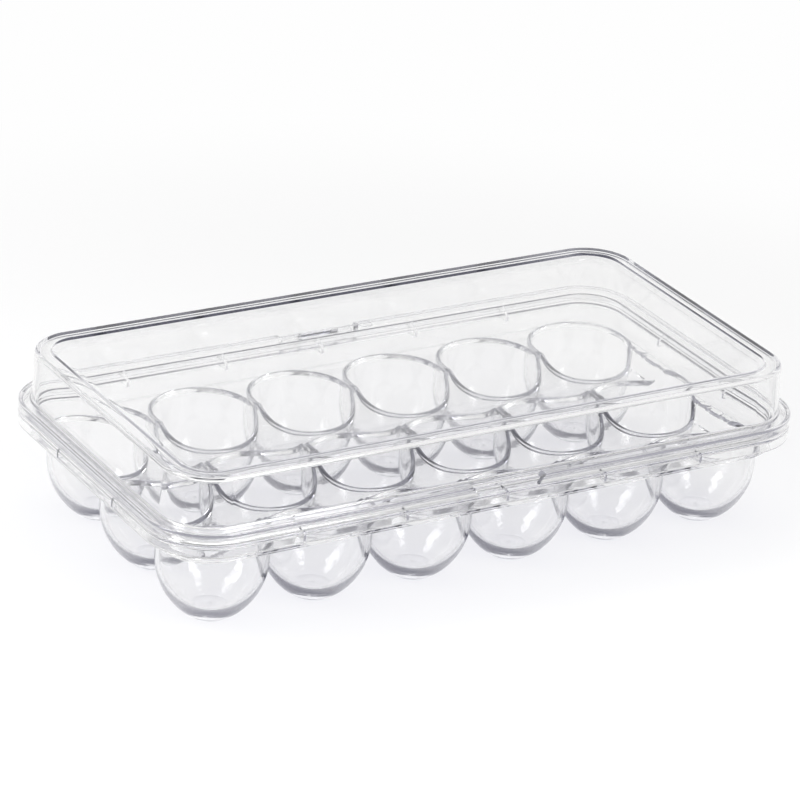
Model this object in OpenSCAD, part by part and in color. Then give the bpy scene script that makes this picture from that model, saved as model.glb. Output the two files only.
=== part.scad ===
// Egg keeper: a clear moulded tray of egg cups under a clear lid that flips up on a rear hinge.
// Millimetres, +Z up. The long side runs along X and the lid opens from the front, which faces -Y.
// The origin is at the centre of the whole keeper's outline, in the plane that the cups stand on.

/* [Cups] */
// Number of cups along the length
cup_cols = 6; // [2:1:7]
// Number of rows of cups, front to back
cup_rows = 3; // [2:1:4]
// Distance between neighbouring cups along the length
col_pitch = 50; // [50:0.5:56]
// Distance between neighbouring rows
row_pitch = 52; // [51:0.5:58]
// Outer radius of a cup at its widest
cup_r = 24.6; // [22:0.1:24.7]
// Height above the feet at which a cup reaches its full width
belly_h = 27; // [25:0.5:28]
// Wall of a cup
cup_t = 1.8; // [1.2:0.1:1.9]
// Inner radius of a cup's mouth, level with the deck
mouth_r = 22.9; // [21:0.1:23]
// Radius of the flat that a cup stands on
foot_r = 9.6; // [7:0.1:11]
// Radius of the round flat inside a cup, where the egg sits
seat_r = 7.6; // [5:0.1:9]
// Thickness of a cup's floor
floor_t = 3; // [1.6:0.1:4]

/* [Deck between the cups] */
// Height of the deck above the feet
deck_h = 39; // [35:0.5:43]
// Thickness of the deck
deck_t = 1.8; // [1.2:0.1:2.4]
// Lowest level of the valleys between the rows
dip_h = 30; // [29:0.5:33]
// Width of a valley, from row to row
dip_w = 44; // [34:1:46]
// How far a valley runs past the middle of the end cups
dip_end = 20; // [16:0.5:21]

/* [Tray rim] */
// Ledge of deck between the end cups' mouths and the tray wall
end_ledge = 2.7; // [2:0.1:6]
// Ledge of deck between the front or back cups' mouths and the tray wall
side_ledge = 1.7; // [1.7:0.1:6]
// Inner corner radius of the tray wall
well_corner = 18.5; // [16:0.5:20]
// Wall of the tray's rim
rim_t = 1.8; // [1.4:0.1:2.2]
// Height of the shelf that the lid stands on
shelf_h = 49.1; // [47:0.1:51]
// Height of the tray wall's lip above that shelf
lip_rise = 3.8; // [1.5:0.1:4.4]
// Depth of the tray's turned-down skirt, from the shelf's top
tray_skirt = 5.9; // [5.5:0.1:8]
// Thickness of a rib under the shelf
rib_t = 1.2; // [0.8:0.1:2]
// How far a rib stops short of the skirt's lower edge
rib_short = 1; // [0.5:0.1:2]

/* [Lid] */
// Wall of the lid
lid_t = 2.2; // [1.6:0.1:2.6]
// Clearance between the tray wall and the lid's wall
lid_gap = 0.6; // [0.4:0.1:1]
// Width of the lid's flange, outside its wall
flange_w = 5.6; // [5:0.1:8]
// Depth of the lid's skirt, from the flange's top
lid_skirt = 4.7; // [4.5:0.1:7]
// Height of the lid above its flange
lid_rise = 23.2; // [18:0.1:40]
// How far the lid's wall leans in from its foot to its top
lid_draft = 0.9; // [0.5:0.1:2]
// Width of the flat ledge round the lid's top
ledge_w = 7.5; // [6:0.1:9]
// Depth of the recessed top panel below that ledge
recess = 2.2; // [1:0.1:2.4]
// Width of the slope between the ledge and the panel
slope_w = 2.5; // [2:0.1:4]
// Radius of the lid's top outer edge
top_edge = 1.5; // [0.8:0.1:1.8]
// Radius of the inside corner between the lid's wall and its flange
root_r = 1.5; // [0.8:0.1:2]
// Radius of the flanges' outer edges
flange_edge = 0.8; // [0.4:0.1:1]
// Length of the finger notch in the lid's front flange, at its top
notch_w = 38; // [30:1:44]
// How far each slanted end of that notch comes in towards its bottom
notch_slant = 4; // [2:0.5:6]
// Width of flange left along the wall inside the notches
notch_ledge = 1.2; // [1.2:0.1:2]
// Outer radius of the round gate mark on the lid's panel
gate_r = 3.5; // [2:0.1:5]
// Width of the gate mark's ring
gate_w = 0.5; // [0.3:0.1:1]
// Height of the gate mark's ring
gate_h = 0.3; // [0.2:0.1:0.6]
// Distance of the gate mark behind the middle of the panel
gate_back = 42; // [0:1:48]

/* [Hinge] */
// Outer radius of the hinge knuckles
knuckle_r = 2.8; // [2.4:0.1:3.2]
// Radius of the hinge pin
pin_r = 1; // [0.8:0.05:1.2]
// Length of the lid's middle knuckle
lid_knuckle = 19; // [14:0.5:22]
// Length of each of the tray's two knuckles
tray_knuckle = 8.7; // [7:0.1:10]
// Radius of the pin's two heads
head_r = 1.7; // [1.5:0.1:2]
// Thickness of a pin head
head_t = 0.8; // [0.6:0.1:1.2]

/* [Clearances] */
// Gap between the closed lid's skirt and the tray's shelf
seat_gap = 0.3; // [0.2:0.05:0.4]
// Radial clearance of the pin in the knuckles
pin_gap = 0.05; // [0.03:0.01:0.08]
// Gap at the ends of a knuckle, and round the lid's knuckle in its pocket
knuckle_gap = 0.3; // [0.2:0.05:0.4]
// Gap between a pin head and the knuckle beside it
head_gap = 0.1; // [0.05:0.05:0.2]
// Gap between the pin heads and the ends of the lid's rear notch
rear_notch_gap = 0.9; // [0.5:0.1:2]
// Gap between the tray's shelf and the arm that carries the lid's knuckle
arm_gap = 0.7; // [0.5:0.1:1]

/* [Hidden] */
$fn = 96;
clear_plastic = [0.87, 0.89, 0.92, 0.5];
pin_plastic = [0.8, 0.82, 0.85, 0.6];
// Overshoot of a cut past the surface that it opens
over = 1;

// Cups: half the spans between the outermost centres, and the radii inside and at the mouth's outside
span_x = (cup_cols - 1) / 2 * col_pitch;
span_y = (cup_rows - 1) / 2 * row_pitch;
bowl_in_r = cup_r - cup_t;
mouth_out = mouth_r + min(cup_t, end_ledge, side_ledge);

// Radius of the round scoop that shapes a valley between the rows
dip_depth = deck_h - dip_h;
scoop_r = (dip_w * dip_w / 4 + dip_depth * dip_depth) / (2 * dip_depth);

// Rounded outlines: every one shares the same four corner centres, and differs in its corner radius
well_x = span_x + mouth_r + end_ledge;
well_y = span_y + mouth_r + side_ledge;
corner_x = well_x - well_corner;
corner_y = well_y - well_corner;
wall_out = well_corner + rim_t;
lid_in = wall_out + lid_gap;
lid_out = lid_in + lid_t;
flange_out = lid_out + flange_w;
top_out = lid_out - lid_draft;
ledge_in = top_out - ledge_w;
slope_in = ledge_in - slope_w;

// Levels
deck_low = deck_h - deck_t;
lip_h = shelf_h + lip_rise;
skirt_low = shelf_h - tray_skirt;
shelf_low = shelf_h - rim_t;
seat_h = shelf_h + seat_gap;
flange_h = seat_h + lid_skirt;
flange_low = flange_h - lid_t;
top_h = flange_h + lid_rise;
panel_h = top_h - recess;

// Hinge: its axis runs along the rear edge of the flanges, level with the foot of the lid's skirt
axis_y = corner_y + flange_out;
axis_z = seat_h;
bore_r = pin_r + pin_gap;
pocket_r = knuckle_r + knuckle_gap;
head_pocket_r = head_r + knuckle_gap;
knuckle_in = lid_knuckle / 2 + knuckle_gap;
knuckle_out = knuckle_in + tray_knuckle;
rear_notch_x = knuckle_out + head_gap + head_t + rear_notch_gap;
arm_low = shelf_h + arm_gap;

// The knuckles stand out behind, so the outline's centre lies behind the cups' centre by half as much
frame_y = -knuckle_r / 2;

function cup_x(c) = c * col_pitch - span_x;
function cup_y(r) = r * row_pitch - span_y;
function cup_name(r, c) = str("egg_cup_", chr(97 + r), c + 1);
function arc(x, z, r, from, to, steps = 4) =
    [for (i = [0:steps]) let (a = from + (to - from) * i / steps) [x + r * cos(a), z + r * sin(a)]];

// Places a piece so that the outline's centre is at the origin
module in_frame() {
    translate([0, frame_y, 0]) children();
}

// Filled rounded outline with the shared corner centres and the given corner radius
module outline(r) {
    square([2 * corner_x, 2 * (corner_y + r)], center = true);
    square([2 * (corner_x + r), 2 * corner_y], center = true);
    for (sx = [-1, 1], sy = [-1, 1]) translate([sx * corner_x, sy * corner_y]) circle(r);
}

// Sweeps a profile, drawn as distance out from the corner centres against height, round the outline
module round_sweep() {
    for (side = [0, 1]) {
        run = side == 0 ? corner_y : corner_x;
        reach = side == 0 ? corner_x : corner_y;
        for (turn = [0, 180]) rotate(side * 90 + turn)
            translate([reach, 0, 0]) rotate([90, 0, 0])
                linear_extrude(2 * run, center = true) children();
    }
    for (i = [0:3]) {
        sx = i == 0 || i == 3 ? 1 : -1;
        sy = i < 2 ? 1 : -1;
        translate([sx * corner_x, sy * corner_y, 0]) rotate(i * 90)
            rotate_extrude(angle = 90) children();
    }
}

// Bowl: a belly turned from one arc between its flat floor and its full width, then an upright wall
module bowl(r, floor_r, floor_z, top_r, top_z) {
    run = r - floor_r;
    rise = belly_h - floor_z;
    arc_r = (run * run + rise * rise) / (2 * run);
    rotate_extrude() {
        intersection() {
            translate([r - arc_r, belly_h]) circle(arc_r);
            translate([0, floor_z]) square([r, rise]);
        }
        polygon([[0, belly_h], [r, belly_h], [top_r, top_z], [0, top_z]]);
    }
}

// Round scoops of the valleys in front of one cup and behind it, as wide as its cell
module scoops(r, c, grow, past) {
    x0 = c == 0 ? -dip_end - grow : -col_pitch / 2 - past;
    x1 = c == cup_cols - 1 ? dip_end + grow : col_pitch / 2 + past;
    for (side = [-1, 1]) if (side < 0 ? r > 0 : r < cup_rows - 1)
        translate([x0, side * row_pitch / 2, dip_h + scoop_r]) rotate([0, 90, 0])
            cylinder(r = scoop_r + grow, h = x1 - x0);
}

// Ground that one cup's cell covers: its share of the grid, and out to the tray wall at the edges
module cell_ground(r, c) {
    x0 = c == 0 ? -well_x : cup_x(c) - col_pitch / 2;
    x1 = c == cup_cols - 1 ? well_x : cup_x(c) + col_pitch / 2;
    y0 = r == 0 ? -well_y : cup_y(r) - row_pitch / 2;
    y1 = r == cup_rows - 1 ? well_y : cup_y(r) + row_pitch / 2;
    difference() {
        translate([x0, y0]) square([x1 - x0, y1 - y0]);
        for (sx = [-1, 1], sy = [-1, 1])
            if (c == (sx < 0 ? 0 : cup_cols - 1) && r == (sy < 0 ? 0 : cup_rows - 1))
                translate([sx * corner_x, sy * corner_y]) difference() {
                    translate([sx * well_corner, sy * well_corner])
                        square(2 * well_corner, center = true);
                    circle(well_corner);
                }
    }
}

// One cell of the tray: a cup with its share of the deck and of the valleys
module egg_cup(r, c) {
    color(clear_plastic) in_frame() difference() {
        union() {
            translate([cup_x(c), cup_y(r), 0]) {
                bowl(cup_r, foot_r, 0, mouth_out, deck_h);
                intersection() {
                    scoops(r, c, deck_t, 0);
                    translate([-col_pitch, -row_pitch / 2, 0]) cube([2 * col_pitch, row_pitch, deck_h]);
                }
            }
            translate([0, 0, deck_low]) linear_extrude(deck_t) cell_ground(r, c);
        }
        translate([cup_x(c), cup_y(r), 0]) {
            bowl(bowl_in_r, seat_r, floor_t, mouth_r, deck_h + over);
            scoops(r, c, 0, over);
        }
    }
}

module tray_profile() {
    polygon(concat(
        [[well_corner, deck_low], [well_corner, lip_h], [wall_out, lip_h], [wall_out, shelf_h]],
        arc(flange_out - flange_edge, shelf_h - flange_edge, flange_edge, 90, 0),
        [[flange_out, skirt_low], [flange_out - rim_t, skirt_low],
            [flange_out - rim_t, shelf_low], [wall_out, shelf_low], [wall_out, deck_low]]
    ));
}

// Rib under the shelf, between the tray wall and the skirt, that points out along +X
module rim_rib(reach) {
    low = skirt_low + rib_short;
    translate([reach + wall_out, -rib_t / 2, low])
        cube([flange_out - rim_t - wall_out, rib_t, shelf_low - low]);
}

module along_hinge(from, to, r) {
    translate([from, axis_y, axis_z]) rotate([0, 90, 0]) cylinder(r = r, h = to - from);
}

// The tray's wall, lip, shelf and skirt, with its ribs and its two hinge knuckles
module tray_rim() {
    color(clear_plastic) in_frame() difference() {
        union() {
            difference() {
                union() {
                    round_sweep() tray_profile();
                    for (c = [0:cup_cols - 2], turn = [90, -90])
                        translate([cup_x(c) + col_pitch / 2, 0, 0]) rotate(turn) rim_rib(corner_y);
                    for (r = [0:cup_rows - 2], turn = [0, 180])
                        translate([0, cup_y(r) + row_pitch / 2, 0]) rotate(turn) rim_rib(corner_x);
                }
                along_hinge(-knuckle_in, knuckle_in, pocket_r);
                along_hinge(knuckle_out, rear_notch_x, head_pocket_r);
                along_hinge(-rear_notch_x, -knuckle_out, head_pocket_r);
            }
            along_hinge(knuckle_in, knuckle_out, knuckle_r);
            along_hinge(-knuckle_out, -knuckle_in, knuckle_r);
        }
        along_hinge(-knuckle_out - over, knuckle_out + over, bore_r);
    }
}

module lid_profile() {
    skirt_in = flange_out - lid_t;
    panel_edge = slope_in - over;
    under = lid_t * 0.3;
    polygon(concat(
        [[flange_out, seat_h]],
        arc(flange_out - flange_edge, flange_h - flange_edge, flange_edge, 0, 90),
        arc(lid_out + root_r, flange_h + root_r, root_r, 270, 180),
        arc(top_out - top_edge, top_h - top_edge, top_edge, 0, 90),
        [[ledge_in, top_h], [slope_in, panel_h], [panel_edge, panel_h],
            [panel_edge, panel_h - lid_t], [slope_in + under, panel_h - lid_t],
            [ledge_in + under, top_h - lid_t], [top_out - lid_t, top_h - lid_t],
            [lid_in, flange_low], [skirt_in, flange_low], [skirt_in, seat_h]]
    ));
}

// Arm that joins the lid's wall to its knuckle, drawn as distance back against height
module arm_profile() {
    wall_y = corner_y + lid_in;
    ledge_y = corner_y + lid_out + notch_ledge;
    polygon([[wall_y, flange_low], [wall_y, flange_h], [ledge_y, flange_h],
        [axis_y, axis_z + knuckle_r], [axis_y, arm_low], [ledge_y, arm_low]]);
}

// Cut that clears the lid's flange, from the ledge left along the wall outwards
module flange_cut(shape_top, shape_bottom) {
    depth = flange_w - notch_ledge + over;
    translate([0, corner_y + lid_out + notch_ledge + depth, 0]) rotate([90, 0, 0])
        linear_extrude(depth) polygon([[-shape_bottom, seat_h - over], [-shape_bottom, seat_h],
            [-shape_top, flange_h], [-shape_top, flange_h + over], [shape_top, flange_h + over],
            [shape_top, flange_h], [shape_bottom, seat_h], [shape_bottom, seat_h - over]]);
}

// The lid: recessed top panel, wall, flange and skirt, with its finger notch, rear notch and knuckle
module lid() {
    color(clear_plastic) in_frame() difference() {
        union() {
            difference() {
                union() {
                    round_sweep() lid_profile();
                    translate([0, 0, panel_h - lid_t]) linear_extrude(lid_t)
                        outline(slope_in - over / 2);
                }
                rotate(180) flange_cut(notch_w / 2, notch_w / 2 - notch_slant);
                flange_cut(rear_notch_x, rear_notch_x);
            }
            translate([-lid_knuckle / 2, 0, 0]) rotate([90, 0, 90])
                linear_extrude(lid_knuckle) arm_profile();
            along_hinge(-lid_knuckle / 2, lid_knuckle / 2, knuckle_r);
            translate([0, gate_back, panel_h]) difference() {
                cylinder(r = gate_r, h = gate_h);
                translate([0, 0, -over]) cylinder(r = gate_r - gate_w, h = gate_h + 2 * over);
            }
        }
        along_hinge(-lid_knuckle / 2 - over, lid_knuckle / 2 + over, bore_r);
    }
}

// Pin through all three knuckles, with a head at each end
module hinge_pin() {
    reach = knuckle_out + head_gap;
    color(pin_plastic) in_frame() {
        along_hinge(-reach, reach, pin_r);
        along_hinge(reach, reach + head_t, head_r);
        along_hinge(-reach - head_t, -reach, head_r);
    }
}

for (r = [0:cup_rows - 1], c = [0:cup_cols - 1])
    egg_cup(r, c);
tray_rim();
lid();
hinge_pin();
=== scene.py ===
import math

import bmesh
import bpy
from mathutils import Matrix, Vector


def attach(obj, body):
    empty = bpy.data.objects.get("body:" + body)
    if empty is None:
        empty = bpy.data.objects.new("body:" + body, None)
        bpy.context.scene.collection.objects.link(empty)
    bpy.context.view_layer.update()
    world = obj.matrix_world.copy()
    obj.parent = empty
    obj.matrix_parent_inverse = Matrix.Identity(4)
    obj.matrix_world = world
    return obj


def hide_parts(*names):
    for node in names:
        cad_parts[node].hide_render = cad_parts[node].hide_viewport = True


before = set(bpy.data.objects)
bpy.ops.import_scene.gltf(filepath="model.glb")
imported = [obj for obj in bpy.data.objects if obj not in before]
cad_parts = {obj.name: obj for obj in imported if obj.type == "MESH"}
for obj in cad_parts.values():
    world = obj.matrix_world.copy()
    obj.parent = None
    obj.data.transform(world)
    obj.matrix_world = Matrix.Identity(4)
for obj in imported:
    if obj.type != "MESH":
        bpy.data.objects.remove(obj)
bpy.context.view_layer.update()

scene = bpy.context.scene

# Sizes, in millimetres
MM = 0.001
COLS, ROWS = 6, 3
COL_PITCH, ROW_PITCH = 50.0, 52.0
MIDDLE_Y = -1.4            # the tray's middle: the knuckles stand out behind it
WALL = 1.8                 # tray sheet
FLOOR = 3.0                # thick bottom of a cup
CUP_R, BOWL_R, BELLY = 24.6, 22.8, 27.0   # a cup outside and inside, and where it is widest
FOOT_R, SEAT_R = 9.6, 7.6
MOUTH_R = 22.9
BEAD_R, BEAD_RISE = 1.02, 0.9             # round bead along a cup's mouth
DECK = 39.0
DIP_FLOOR, DIP_END, SCOOP_R = 30.0, 20.0, 31.4
WELL_X, WELL_Y, WELL_R = 150.6, 76.6, 18.5
CORNER_X, CORNER_Y = WELL_X - WELL_R, WELL_Y - WELL_R
RIM_T, SHELF, LIP_TOP, SKIRT_LOW = 1.8, 49.1, 52.9, 43.2
RIM_OUT = 28.7             # flange edge, out from the corner centres
LID_IN, LID_OUT, LID_TOP_OUT = 20.9, 23.1, 22.2
LID_T = 2.2
SEAT, FLANGE, TOP, PANEL = 49.4, 54.1, 77.3, 75.1
LEDGE_IN, SLOPE_IN = 14.7, 12.2
AXIS_Y, AXIS_Z = CORNER_Y + RIM_OUT + MIDDLE_Y, SEAT
KNUCKLE_R, BORE_R, POCKET_R, HEAD_R = 2.8, 1.05, 3.1, 1.7
LID_KNUCKLE, TRAY_KNUCKLE_IN, TRAY_KNUCKLE_OUT = 9.5, 9.8, 18.5
HEAD_IN, HEAD_OUT, NOTCH_BACK = 18.6, 19.4, 20.3
PIN_R = 1.0
RIB_T, RIB_SHORT = 1.2, 1.0               # ribs under the shelf, and how far they stop above the skirt's edge
NOTCH_FRONT, NOTCH_LEDGE = 19.0, 1.2      # half of the finger notch, and the flange left along the wall in it
NOTCH_TAPER = 0.745                       # the notch's width at its bottom, as a share of the cutter's top
GATE_R, GATE_W, GATE_H, GATE_BACK = 3.5, 0.5, 0.3, 42.0
SEAT_RECESS = 0.35                        # step down to the seat in a cup's bottom
DECK_FROM = 25.1                          # the deck starts this far from a cup's axis, outside the bead
SOFT_EDGE, DIP_FADE = 0.9, 5.0            # how softly a valley starts along its sides, and at its ends
VALLEY_CUTS = (3, 4, 5, 6.2, 7.6, 9.2, 11, 13, 15.5, 18.5, 22)   # edges that let the deck bend into a valley
END_CUTS = (18.2, 19.4, 20.6, 21.8)       # and over a valley's ends
SPOKES, BELLY_STEPS, CORNER_STEPS = 72, 12, 16


# Modelling helpers
def deselect():
    bpy.ops.object.select_all(action="DESELECT")


def edit(o):
    deselect()
    bpy.context.view_layer.objects.active = o
    o.select_set(True)
    bpy.ops.object.mode_set(mode="EDIT")
    bpy.ops.mesh.select_mode(type="VERT")


def leave():
    bpy.ops.object.mode_set(mode="OBJECT")
    deselect()


def pick(o, kind, test):
    """Selects, in edit mode, what the test picks by its middle, in mm."""
    bpy.ops.mesh.select_all(action="DESELECT")
    bpy.ops.mesh.select_mode(type=kind)
    bm = bmesh.from_edit_mesh(o.data)
    for item in {"VERT": bm.verts, "EDGE": bm.edges, "FACE": bm.faces}[kind]:
        if kind == "VERT":
            at = item.co
        elif kind == "EDGE":
            at = (item.verts[0].co + item.verts[1].co) / 2
        else:
            at = item.calc_center_median()
        item.select = bool(test(at / MM))
    bm.select_flush_mode()
    bmesh.update_edit_mesh(o.data)


def draw(name, points):
    """Draws a wire from point to point, in mm. A fourth number rounds that corner off."""
    deselect()
    bpy.ops.mesh.primitive_plane_add(size=MM)
    o = bpy.context.object
    o.name = name
    bpy.ops.object.mode_set(mode="EDIT")
    bpy.ops.mesh.select_mode(type="VERT")
    bpy.ops.mesh.select_all(action="SELECT")
    bpy.ops.mesh.merge(type="CENTER")
    places = [Vector(p[:3]) * MM for p in points]
    bpy.ops.transform.translate(value=places[0])
    for a, b in zip(places, places[1:]):
        bpy.ops.mesh.extrude_vertices_move(TRANSFORM_OT_translate={"value": b - a})
    for p in points:
        if len(p) > 3:
            corner = Vector(p[:3])
            pick(o, "VERT", lambda at: (at - corner).length < 0.001)
            offset = bevel_offset(points, p) * MM
            bpy.ops.mesh.bevel(affect="VERTICES", offset=offset, segments=6 if p[3] > 1 else 3)
    return o


def bevel_offset(points, p):
    """How far from a corner its round of radius p[3] starts."""
    i = points.index(p)
    a = Vector(points[i - 1][:3]) - Vector(p[:3])
    b = Vector(points[(i + 1) % len(points)][:3]) - Vector(p[:3])
    return p[3] / math.tan(a.angle(b) / 2)


def close_up(o):
    bpy.ops.mesh.select_all(action="SELECT")
    bpy.ops.mesh.remove_doubles(threshold=0.004 * MM)
    bpy.ops.mesh.normals_make_consistent(inside=False)
    leave()


def join_ends(o):
    """Joins the last drawn point of a wire to its first one."""
    bm = bmesh.from_edit_mesh(o.data)
    ends = [v for v in bm.verts if len(v.link_edges) == 1]
    places = [v.co.copy() for v in ends]
    pick(o, "VERT", lambda at: any((at * MM - e).length < 1e-7 for e in places))
    bpy.ops.mesh.edge_face_add()
    bpy.ops.mesh.select_all(action="SELECT")


def sweep_round(o):
    """Carries the wire, drawn on the right side's front end, once round the rounded outline."""
    bpy.ops.mesh.select_all(action="SELECT")
    runs = [(0, 2 * CORNER_Y), (-2 * CORNER_X, 0), (0, -2 * CORNER_Y), (2 * CORNER_X, 0)]
    turns = [(1, 1), (-1, 1), (-1, -1), (1, -1)]
    for (dx, dy), (sx, sy) in zip(runs, turns):
        bpy.ops.mesh.extrude_region_move(TRANSFORM_OT_translate={"value": (dx * MM, dy * MM, 0)})
        centre = (sx * CORNER_X * MM, (sy * CORNER_Y + MIDDLE_Y) * MM, 0)
        bpy.ops.mesh.spin(steps=CORNER_STEPS, angle=-math.pi / 2, center=centre, axis=(0, 0, 1))


def ring_profile(points):
    """Turns distances out from the corner centres and heights into places on the right side."""
    return [(CORNER_X + p[0], -CORNER_Y + MIDDLE_Y, *p[1:]) for p in points]


def apply_modifiers(o):
    deselect()
    bpy.context.view_layer.objects.active = o
    o.select_set(True)
    for m in list(o.modifiers):
        bpy.ops.object.modifier_apply(modifier=m.name)
    deselect()


def combine(o, other, how):
    m = o.modifiers.new("combine", "BOOLEAN")
    m.operation = how
    m.solver = "MANIFOLD"
    m.object = other
    apply_modifiers(o)
    bpy.data.objects.remove(other)


def rod(name, x0, x1, r, steps=48):
    """Round bar along the hinge's axis."""
    deselect()
    bpy.ops.mesh.primitive_cylinder_add(vertices=steps, radius=r * MM, depth=(x1 - x0) * MM,
                                        location=((x0 + x1) / 2 * MM, AXIS_Y * MM, AXIS_Z * MM),
                                        rotation=(0, math.pi / 2, 0))
    o = bpy.context.object
    o.name = name
    bpy.ops.object.transform_apply(location=True, rotation=True, scale=True)
    return o


def block(name, low, high):
    deselect()
    size = [(b - a) * MM for a, b in zip(low, high)]
    bpy.ops.mesh.primitive_cube_add(size=1, location=[(a + b) / 2 * MM for a, b in zip(low, high)])
    o = bpy.context.object
    o.name = name
    o.scale = size
    bpy.ops.object.transform_apply(location=True, rotation=True, scale=True)
    return o


def join(name, parts):
    deselect()
    for p in parts:
        p.select_set(True)
    bpy.context.view_layer.objects.active = parts[0]
    bpy.ops.object.join()
    parts[0].name = name
    deselect()
    return parts[0]


def smooth(o, degrees):
    deselect()
    bpy.context.view_layer.objects.active = o
    o.select_set(True)
    bpy.ops.object.shade_smooth_by_angle(angle=math.radians(degrees))
    deselect()


# The tray
def valley_drop(x, y, row, col):
    """How far the deck lies below its full level at a place measured from a cup's middle."""
    side_open = (y > 0 and row < ROWS - 1) or (y < 0 and row > 0)
    if not side_open:
        return 0
    across = ROW_PITCH / 2 - abs(y)
    scoop = DIP_FLOOR + SCOOP_R - math.sqrt(max(SCOOP_R ** 2 - across ** 2, 0))
    fall = DECK - scoop
    low = (DECK + scoop - math.sqrt(fall ** 2 + SOFT_EDGE ** 2)) / 2 + SOFT_EDGE / 2 * math.exp(-fall ** 2)
    past = -x if col == 0 else x if col == COLS - 1 else 0
    fade = min(max((DIP_END + DIP_FADE / 2 - past) / DIP_FADE, 0), 1)
    return (DECK - min(low, DECK)) * fade * fade * (3 - 2 * fade)


def cup_skins():
    """Pairs of places, on a cup's inside and on its outside, as distances from its axis and heights."""
    seat = FLOOR - SEAT_RECESS
    pairs = [((0, seat + 0.15), (0, 0)), ((0.7, seat + 0.12), (0.9, 0)), ((0.95, seat), (1.3, 0)),
             ((SEAT_R - 0.35, seat), (FOOT_R - 0.7, 0)), ((SEAT_R - 0.12, seat + 0.06), (FOOT_R - 0.3, 0)),
             ((SEAT_R - 0.02, FLOOR - 0.08), (FOOT_R, 0.04))]
    skins = []
    for r, foot, z0 in ((BOWL_R, SEAT_R + 0.15, FLOOR + 0.05), (CUP_R, FOOT_R + 0.35, 0.18)):
        run, rise = r - foot, BELLY - z0
        arc = (run * run + rise * rise) / (2 * run)
        low = math.asin(rise / arc)
        turns = [low * (1 - i / BELLY_STEPS) for i in range(BELLY_STEPS + 1)]
        skins.append([(r - arc + arc * math.cos(a), BELLY - arc * math.sin(a)) for a in turns])
    pairs += list(zip(*skins))
    pairs += [((BOWL_R + 0.04, z), (CUP_R, z)) for z in (30, 33, 35.5)]
    # the bead turns nearly half way round, while the outside turns from the wall into the deck
    centre_r, centre_z = MOUTH_R + BEAD_R, DECK + BEAD_RISE - BEAD_R
    outside = ((24.6, 36.3), (24.6, 36.6), (24.62, 36.9), (24.65, 37.05), (24.7, 37.12), (24.75, 37.16),
               (24.8, 37.2), (24.88, 37.2), (24.94, 37.2))
    for i, out in enumerate(outside):
        a = math.pi * (1 - i / 8 * 0.955)
        pairs.append(((centre_r + BEAD_R * math.cos(a), centre_z + BEAD_R * math.sin(a)), out))
    return pairs + [((r, DECK), (r, DECK - WALL)) for r in (25.35, 27, 29.5, 33, 36, 42)]


def cup_sheet(lathe, col, row):
    """One cup's share of the tray's upper skin: the turned cup, cut to its cell."""
    o = lathe.copy()
    o.data = lathe.data.copy()
    scene.collection.objects.link(o)
    o.name = f"cell_{row}_{col}"
    cx, cy = cup_place(col, row)
    tuck = RIM_T / 2
    left = cx - COL_PITCH / 2 if col else -WELL_X - tuck
    right = cx + COL_PITCH / 2 if col < COLS - 1 else WELL_X + tuck
    front = cy - ROW_PITCH / 2 if row else MIDDLE_Y - WELL_Y - tuck
    back = cy + ROW_PITCH / 2 if row < ROWS - 1 else MIDDLE_Y + WELL_Y + tuck
    edit(o)
    bpy.ops.mesh.select_all(action="SELECT")
    bpy.ops.transform.translate(value=(cx * MM, cy * MM, 0))
    for co, no in (((left, 0, 0), (-1, 0, 0)), ((right, 0, 0), (1, 0, 0)),
                   ((0, front, 0), (0, -1, 0)), ((0, back, 0), (0, 1, 0))):
        bpy.ops.mesh.select_all(action="SELECT")
        bpy.ops.mesh.bisect(plane_co=Vector(co) * MM, plane_no=no, clear_outer=True)

    def on_deck(at):
        return at.z > DECK - 0.02 and math.hypot(at.x - cx, at.y - cy) > DECK_FROM

    for side in (-1, 1):
        if not 0 <= row + side < ROWS:
            continue
        for y in VALLEY_CUTS:
            pick(o, "FACE", on_deck)
            bpy.ops.mesh.bisect(plane_co=(0, (cy + side * y) * MM, 0), plane_no=(0, 1, 0))
        for x in END_CUTS if col in (0, COLS - 1) else ():
            pick(o, "FACE", on_deck)
            bpy.ops.mesh.bisect(plane_co=((cx + (x if col else -x)) * MM, 0, 0), plane_no=(1, 0, 0))
    leave()
    return o


def cup_place(col, row):
    return (col - (COLS - 1) / 2) * COL_PITCH, (row - (ROWS - 1) / 2) * ROW_PITCH + MIDDLE_Y


def near_cup(x, y):
    """The column and row of the cell that a place lies in."""
    col = min(max(round(x / COL_PITCH + (COLS - 1) / 2), 0), COLS - 1)
    row = min(max(round((y - MIDDLE_Y) / ROW_PITCH + (ROWS - 1) / 2), 0), ROWS - 1)
    return col, row


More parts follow.
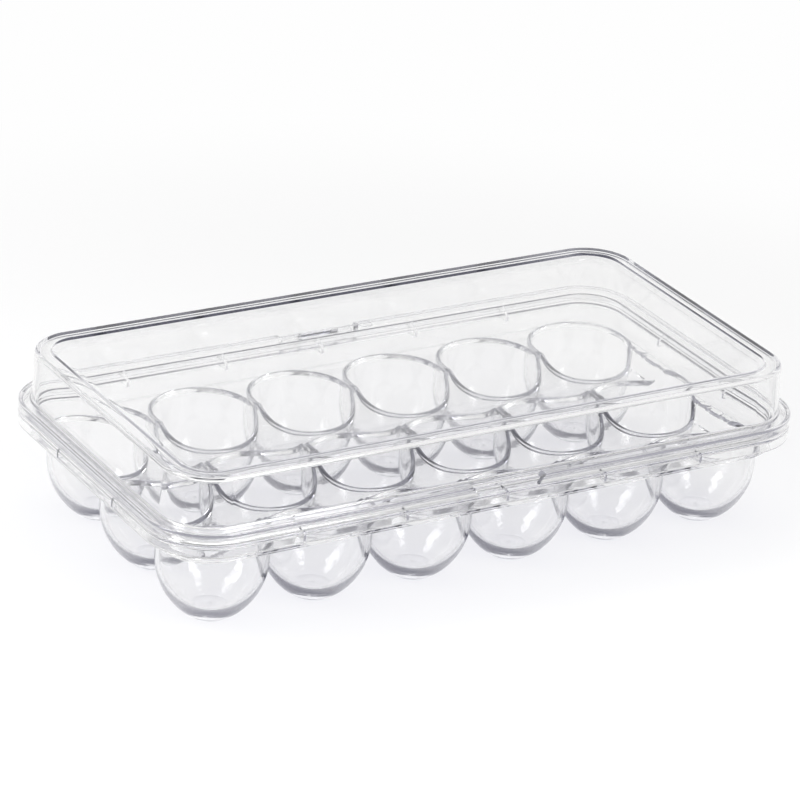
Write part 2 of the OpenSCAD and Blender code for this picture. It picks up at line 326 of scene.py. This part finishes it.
def make_tray():
    pairs = cup_skins()
    lathe = draw("lathe", [(r, 0, z) for (r, z), _ in pairs])
    bpy.ops.mesh.select_all(action="SELECT")
    bpy.ops.mesh.spin(steps=SPOKES, angle=2 * math.pi, center=(0, 0, 0), axis=(0, 0, 1))
    close_up(lathe)
    cells = [cup_sheet(lathe, c, r) for r in range(ROWS) for c in range(COLS)]
    bpy.data.objects.remove(lathe)
    tray = join("tray_shell", cells)
    edit(tray)
    bpy.ops.mesh.select_all(action="SELECT")
    bpy.ops.mesh.remove_doubles(threshold=0.01 * MM)
    bpy.ops.mesh.normals_make_consistent(inside=False)
    leave()
    if max(tray.data.polygons, key=lambda p: p.area).normal.z < 0:
        edit(tray)
        bpy.ops.mesh.select_all(action="SELECT")
        bpy.ops.mesh.flip_normals()
        leave()
    count = len(tray.data.vertices)
    m = tray.modifiers.new("thickness", "SOLIDIFY")
    m.thickness = WALL * MM
    m.offset = -1
    apply_modifiers(tray)

    # the outside of every cup gets its own shape, and then the valleys are pressed into both skins
    verts = tray.data.vertices
    for i in range(count):
        x, y, z = verts[i].co / MM
        cx, cy = cup_place(*near_cup(x, y))
        r = math.hypot(x - cx, y - cy)
        on_cup = z < DECK - 0.01 or r < DECK_FROM
        out_r, out_z = min(pairs, key=lambda p: abs(p[0][0] - r) * on_cup + abs(p[0][1] - z))[1]
        grow = out_r / r if on_cup and r > 0.01 else 1
        verts[i + count].co = Vector((cx + (x - cx) * grow, cy + (y - cy) * grow, out_z)) * MM
    for v in verts:
        x, y, z = v.co / MM
        col, row = near_cup(x, y)
        cx, cy = cup_place(col, row)
        share = min(max((z - BELLY) / (DECK - WALL - BELLY), 0), 1)
        v.co.z = (z - valley_drop(x - cx, y - cy, row, col) * share) * MM

    # the deck is trimmed to the rounded outline, half way into the rim's wall
    trim = draw("trim", ring_profile([(WELL_R + RIM_T / 2, -5), (WELL_R + RIM_T / 2, 60)]))
    sweep_round(trim)
    for z in (-5, 60):
        pick(trim, "VERT", lambda at: abs(at.z - z) < 0.01)
        bpy.ops.mesh.remove_doubles(threshold=0.004 * MM)
        bpy.ops.mesh.edge_face_add()
    close_up(trim)
    combine(tray, trim, "INTERSECT")

    rim = draw("rim", ring_profile([
        (WELL_R, DECK - WALL - 0.2, 0.5), (WELL_R, LIP_TOP, 0.7), (WELL_R + RIM_T, LIP_TOP, 0.7),
        (WELL_R + RIM_T, SHELF, 0.6), (RIM_OUT, SHELF, 0.8), (RIM_OUT, SKIRT_LOW, 0.5),
        (RIM_OUT - RIM_T, SKIRT_LOW, 0.5), (RIM_OUT - RIM_T, SHELF - RIM_T, 0.8),
        (WELL_R + RIM_T, SHELF - RIM_T, 0.8), (WELL_R + RIM_T, DECK - WALL - 0.2, 0.5)]))
    join_ends(rim)
    sweep_round(rim)
    close_up(rim)
    combine(tray, rim, "UNION")

    ribs = []
    low, high = SKIRT_LOW + RIB_SHORT, SHELF - RIM_T + 0.4
    near, far = WELL_R + RIM_T - 0.4, RIM_OUT - RIM_T + 0.4
    for c in range(COLS - 1):
        x = (c - (COLS - 2) / 2) * COL_PITCH
        for s in (-1, 1):
            ys = sorted(s * (CORNER_Y + u) + MIDDLE_Y for u in (near, far))
            ribs.append(block("rib", (x - RIB_T / 2, ys[0], low), (x + RIB_T / 2, ys[1], high)))
    for r in range(ROWS - 1):
        y = (r - (ROWS - 2) / 2) * ROW_PITCH + MIDDLE_Y
        for s in (-1, 1):
            xs = sorted(s * (CORNER_X + u) for u in (near, far))
            ribs.append(block("rib", (xs[0], y - RIB_T / 2, low), (xs[1], y + RIB_T / 2, high)))
    combine(tray, join("ribs", ribs), "UNION")

    combine(tray, rod("pocket", -TRAY_KNUCKLE_IN, TRAY_KNUCKLE_IN, POCKET_R), "DIFFERENCE")
    for s in (-1, 1):
        xs = sorted((s * TRAY_KNUCKLE_OUT, s * NOTCH_BACK))
        combine(tray, rod("head_pocket", *xs, HEAD_R + 0.3), "DIFFERENCE")
        xs = sorted((s * TRAY_KNUCKLE_IN, s * TRAY_KNUCKLE_OUT))
        combine(tray, rod("knuckle", *xs, KNUCKLE_R), "UNION")
    combine(tray, rod("bore", -NOTCH_BACK, NOTCH_BACK, BORE_R), "DIFFERENCE")
    smooth(tray, 35)
    return tray


# The lid
def make_lid():
    under = LID_T * 0.3
    lid = draw("lid_shell", ring_profile([
        (SLOPE_IN - 2, PANEL), (SLOPE_IN, PANEL, 0.8), (LEDGE_IN, TOP, 0.6),
        (LID_TOP_OUT, TOP, 1.5), (LID_OUT, FLANGE, 1.5),
        (RIM_OUT, FLANGE, 0.8), (RIM_OUT, SEAT, 0.4), (RIM_OUT - LID_T, SEAT, 0.4),
        (RIM_OUT - LID_T, FLANGE - LID_T, 0.5), (LID_IN, FLANGE - LID_T, 0.5),
        (LID_TOP_OUT - LID_T, TOP - LID_T, 0.8), (LEDGE_IN + under, TOP - LID_T, 0.6),
        (SLOPE_IN + under, PANEL - LID_T, 0.6), (SLOPE_IN - 2, PANEL - LID_T)]))
    sweep_round(lid)
    bpy.ops.mesh.select_all(action="SELECT")
    bpy.ops.mesh.remove_doubles(threshold=0.004 * MM)
    for z in (PANEL, PANEL - LID_T):
        inner = SLOPE_IN - 1.9
        pick(lid, "VERT", lambda at: abs(at.z - z) < 0.01 and in_outline(at, inner))
        bpy.ops.mesh.edge_face_add()
    close_up(lid)

    for s in (-1, 1):
        y0 = s * (CORNER_Y + LID_OUT + NOTCH_LEDGE) + MIDDLE_Y
        y1 = s * (CORNER_Y + RIM_OUT + 2) + MIDDLE_Y
        half = NOTCH_FRONT if s < 0 else NOTCH_BACK
        cut = block("notch", (-half, min(y0, y1), SEAT - 1), (half, max(y0, y1), FLANGE + 1))
        if s < 0:
            edit(cut)
            pick(cut, "VERT", lambda at: at.z < SEAT)
            bpy.ops.transform.resize(value=(NOTCH_TAPER, 1, 1))
            leave()
        combine(lid, cut, "DIFFERENCE")
    wall_y, ledge_y = (CORNER_Y + u + MIDDLE_Y for u in (LID_IN + 0.4, LID_OUT + NOTCH_LEDGE))
    side = -LID_KNUCKLE
    arm = draw("arm", [
        (side, wall_y, FLANGE - LID_T), (side, wall_y, FLANGE - 0.02), (side, ledge_y, FLANGE - 0.02),
        (side, AXIS_Y, AXIS_Z + KNUCKLE_R - 0.05), (side, AXIS_Y, SEAT + 0.4), (side, ledge_y, SEAT + 0.4)])
    join_ends(arm)
    bpy.ops.mesh.edge_face_add()
    bpy.ops.mesh.extrude_region_move(TRANSFORM_OT_translate={"value": (2 * LID_KNUCKLE * MM, 0, 0)})
    close_up(arm)
    combine(lid, arm, "UNION")
    combine(lid, rod("lid_knuckle", -LID_KNUCKLE, LID_KNUCKLE, KNUCKLE_R), "UNION")
    combine(lid, rod("lid_bore", -LID_KNUCKLE - 1, LID_KNUCKLE + 1, BORE_R), "DIFFERENCE")

    gate = draw("gate", [
        (GATE_R, 0, PANEL - GATE_H), (GATE_R, 0, PANEL + GATE_H, 0.1),
        (GATE_R - GATE_W, 0, PANEL + GATE_H, 0.1), (GATE_R - GATE_W, 0, PANEL - GATE_H)])
    join_ends(gate)
    bpy.ops.mesh.spin(steps=32, angle=2 * math.pi, center=(0, 0, 0), axis=(0, 0, 1))
    bpy.ops.mesh.select_all(action="SELECT")
    bpy.ops.transform.translate(value=(0, (GATE_BACK + MIDDLE_Y) * MM, 0))
    close_up(gate)
    combine(lid, gate, "UNION")
    smooth(lid, 35)
    return lid


def in_outline(at, r):
    """True if a place lies within the rounded outline of the given corner radius."""
    dx = max(abs(at.x) - CORNER_X, 0)
    dy = max(abs(at.y - MIDDLE_Y) - CORNER_Y, 0)
    return math.hypot(dx, dy) < r if dx and dy else max(dx, dy) < r


def make_pin():
    pin = rod("hinge_pin_rod", -HEAD_IN, HEAD_IN, PIN_R, 32)
    for s in (-1, 1):
        xs = sorted((s * HEAD_IN, s * HEAD_OUT))
        head = rod("head", *xs, HEAD_R, 32)
        combine(pin, head, "UNION")
    smooth(pin, 35)
    return pin


tray = make_tray()
lid = make_lid()
pin = make_pin()


# Materials
def linear(hex_colour):
    rgb = [int(hex_colour[i:i + 2], 16) / 255 for i in (1, 3, 5)]
    return [c / 12.92 if c <= 0.04045 else ((c + 0.055) / 1.055) ** 2.4 for c in rgb] + [1]


def node(tree, kind, inputs=(), **settings):
    """Adds a node, sets its properties, and sets or links its inputs."""
    n = tree.nodes.new(kind)
    for k, v in settings.items():
        setattr(n, k, v)
    for k, v in dict(inputs).items():
        if isinstance(v, bpy.types.NodeSocket):
            tree.links.new(v, n.inputs[k])
        else:
            n.inputs[k].default_value = v
    return n


def clear_plastic(name):
    """Clear styrene, injection moulded in a polished mould.

    To the eye it is colourless and bright, with hard highlights, a faint flow left by the mould and the
    slight haze that hands leave. Its thick edges show as grey and white lines, and part of the grey is
    painted shade: a grey transparent that light meets after three turns inside.
    """
    mat = bpy.data.materials.new(name)
    mat.use_nodes = True
    tree = mat.node_tree
    tree.nodes.clear()
    place = node(tree, "ShaderNodeTexCoord").outputs["Object"]
    # the melt's flow: waves about 11 mm long and some thousandths of a millimetre high
    flow = node(tree, "ShaderNodeTexNoise", {"Vector": place, "Scale": 1 / (11 * MM), "Detail": 1.0})
    waves = node(tree, "ShaderNodeBump", {
        "Strength": 0.05, "Distance": 0.06 * MM, "Height": flow.outputs["Fac"]})
    # haze in patches of about 3 mm
    haze = node(tree, "ShaderNodeTexNoise", {"Vector": place, "Scale": 1 / (3 * MM), "Detail": 2.0})
    polish = node(tree, "ShaderNodeMapRange", {
        "Value": haze.outputs["Fac"], "To Min": 0.01, "To Max": 0.04})
    surface = node(tree, "ShaderNodeBsdfPrincipled", {
        "Base Color": linear("#fbfbfb"), "Roughness": polish.outputs[0], "Normal": waves.outputs[0],
        "IOR": 1.5, "Transmission Weight": 1.0})
    # lamps and the floor's light go straight through, so that the shadow stays as pale as a clear piece's
    lamp_light = node(tree, "ShaderNodeBsdfTransparent", {"Color": linear("#fbfbfc")})
    path = node(tree, "ShaderNodeLightPath")
    free = node(tree, "ShaderNodeMath", {
        0: path.outputs["Is Shadow Ray"], 1: path.outputs["Is Diffuse Ray"]}, operation="MAXIMUM")
    through = node(tree, "ShaderNodeMixShader", {
        0: free.outputs[0], 1: surface.outputs[0], 2: lamp_light.outputs[0]})
    # painted shade: light that has turned three times inside a thick edge is dimmed by a grey transparent,
    # painting a grey line along the edge
    painted_edge_shade = node(tree, "ShaderNodeBsdfTransparent", {"Color": linear("#dfdfe3")})
    painted_shade_mask = node(tree, "ShaderNodeMath", {
        0: path.outputs["Glossy Depth"], 1: 2.5}, operation="GREATER_THAN")
    mix = node(tree, "ShaderNodeMixShader", {
        0: painted_shade_mask.outputs[0], 1: through.outputs[0], 2: painted_edge_shade.outputs[0]})
    node(tree, "ShaderNodeOutputMaterial", {"Surface": mix.outputs[0]})
    return mat


cells = [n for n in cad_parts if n.startswith("egg_cup")]
for piece, body, slot, nodes in (
        (tray, "tray", "tray_clear", cells + ["tray_rim"]),
        (lid, "lid", "lid_clear", ["lid"]),
        (pin, "tray", "pin_clear", ["hinge_pin"])):
    piece.data.materials.clear()
    piece.data.materials.append(clear_plastic("clear_styrene_moulded_" + slot))
    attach(piece, body)
    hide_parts(*nodes)


# Floor, light and camera
FLOOR_SIZE, FLOOR_DROP = 8, 0.0004
PAINT_TO, WHITE_FROM = 0.24, 0.5          # metres from the object's middle

deselect()
bpy.ops.mesh.primitive_plane_add(size=FLOOR_SIZE, location=(0, 0, -FLOOR_DROP))
floor = bpy.context.object
floor.name = "floor"
# matt white paint: it takes the shadow near the object, and turns into the white backdrop further off
floor_mat = bpy.data.materials.new("matt_white_floor")
floor_mat.use_nodes = True
tree = floor_mat.node_tree
tree.nodes.clear()
paint = node(tree, "ShaderNodeBsdfDiffuse", {"Color": linear("#f3f3f3")})
glow = node(tree, "ShaderNodeEmission", {"Color": linear("#fefefe"), "Strength": 1.0})
path = node(tree, "ShaderNodeLightPath")
spot = node(tree, "ShaderNodeTexCoord")
reach = node(tree, "ShaderNodeVectorMath", {0: spot.outputs["Object"]}, operation="LENGTH")
near = node(tree, "ShaderNodeMapRange", {
    "Value": reach.outputs["Value"], "From Min": PAINT_TO, "From Max": WHITE_FROM,
    "To Min": 1.0, "To Max": 0.0}, interpolation_type="SMOOTHSTEP")
lit = node(tree, "ShaderNodeMath", {
    0: path.outputs["Is Diffuse Ray"], 1: near.outputs[0]}, operation="MAXIMUM")
mix = node(tree, "ShaderNodeMixShader", {0: lit.outputs[0], 1: glow.outputs[0], 2: paint.outputs[0]})
node(tree, "ShaderNodeOutputMaterial", {"Surface": mix.outputs[0]})
floor.data.materials.append(floor_mat)

# the studio is white behind the object and grey in front of it, so that clear edges show grey lines
BEHIND = (0.53, 0.85, 0.0)
world = bpy.data.worlds.new("studio")
scene.world = world
world.use_nodes = True
sky = world.node_tree
path = node(sky, "ShaderNodeLightPath")
away = node(sky, "ShaderNodeTexCoord")
facing = node(sky, "ShaderNodeVectorMath", {0: away.outputs["Generated"], 1: BEHIND}, operation="DOT_PRODUCT")
white_side = node(sky, "ShaderNodeMapRange", {
    "Value": facing.outputs["Value"], "From Min": -0.3, "From Max": 0.75, "To Min": 0.2, "To Max": 1.0})
seen_white = node(sky, "ShaderNodeMath", {
    0: white_side.outputs[0], 1: path.outputs["Is Camera Ray"]}, operation="MAXIMUM")
level = node(sky, "ShaderNodeMix", {
    0: path.outputs["Is Diffuse Ray"], 2: seen_white.outputs[0], 3: 0.5}, data_type="FLOAT")
sky.nodes["Background"].inputs["Color"].default_value = (1, 1, 1, 1)
sky.links.new(level.outputs[0], sky.nodes["Background"].inputs["Strength"])


LAMP_DISTANCE = 1.6


def softbox(name, azimuth, elevation, wide, tall, strength):
    """Square lamp that faces the object, at an azimuth measured like the camera's."""
    a, e = math.radians(azimuth), math.radians(elevation)
    out = Vector((math.sin(a) * math.cos(e), -math.cos(a) * math.cos(e), math.sin(e)))
    lamp = bpy.data.lights.new(name, "AREA")
    lamp.shape = "RECTANGLE"
    lamp.size, lamp.size_y = wide, tall
    lamp.energy = strength * math.pi * wide * tall
    o = bpy.data.objects.new(name, lamp)
    scene.collection.objects.link(o)
    turn = out.to_track_quat("Z", "Y").to_matrix().to_4x4()
    o.matrix_world = Matrix.Translation(out * LAMP_DISTANCE) @ turn


softbox("softbox_left", -100, 34, 0.55, 1.4, 6)
softbox("softbox_right", 16, 34, 0.5, 1.4, 6)
softbox("softbox_top", 150, 72, 0.9, 0.35, 3)

# the camera, solved from the outlines of the lid and the flange: angles in degrees, lengths in millimetres
FRAME_PX, SENSOR, FOCAL_PX = 800, 36, 4162.6
CAM_AZ, CAM_EL, CAM_ROLL = -31.99, 24.39, 4.17
CAM_DISTANCE, CAM_RIGHT, CAM_UP, CAM_LIFT = 1873.23, -0.36, 48.48, 1.8
az, el, roll = map(math.radians, (CAM_AZ, CAM_EL, CAM_ROLL))
back = Vector((math.sin(az) * math.cos(el), -math.cos(az) * math.cos(el), math.sin(el)))
right = (-back).cross(Vector((0, 0, 1))).normalized()
up = right.cross(-back)
right, up = (math.cos(roll) * right + math.sin(roll) * up,
             -math.sin(roll) * right + math.cos(roll) * up)
cam_data = bpy.data.cameras.new("camera")
cam = bpy.data.objects.new("camera", cam_data)
scene.collection.objects.link(cam)
cam_data.sensor_width = SENSOR
cam_data.lens = FOCAL_PX * SENSOR / FRAME_PX
cam_data.clip_end = 20
place = (CAM_RIGHT * right + CAM_UP * up + CAM_DISTANCE * back + Vector((0, MIDDLE_Y, CAM_LIFT))) * MM
cam.matrix_world = Matrix.Translation(place) @ Matrix((right, up, back)).transposed().to_4x4()
scene.camera = cam
scene.view_settings.view_transform = "Standard"
# light goes through many sheets and turns round many times in the thick edges
scene.cycles.max_bounces = 24
scene.cycles.glossy_bounces = 20
scene.cycles.transmission_bounces = 24
scene.cycles.transparent_max_bounces = 40
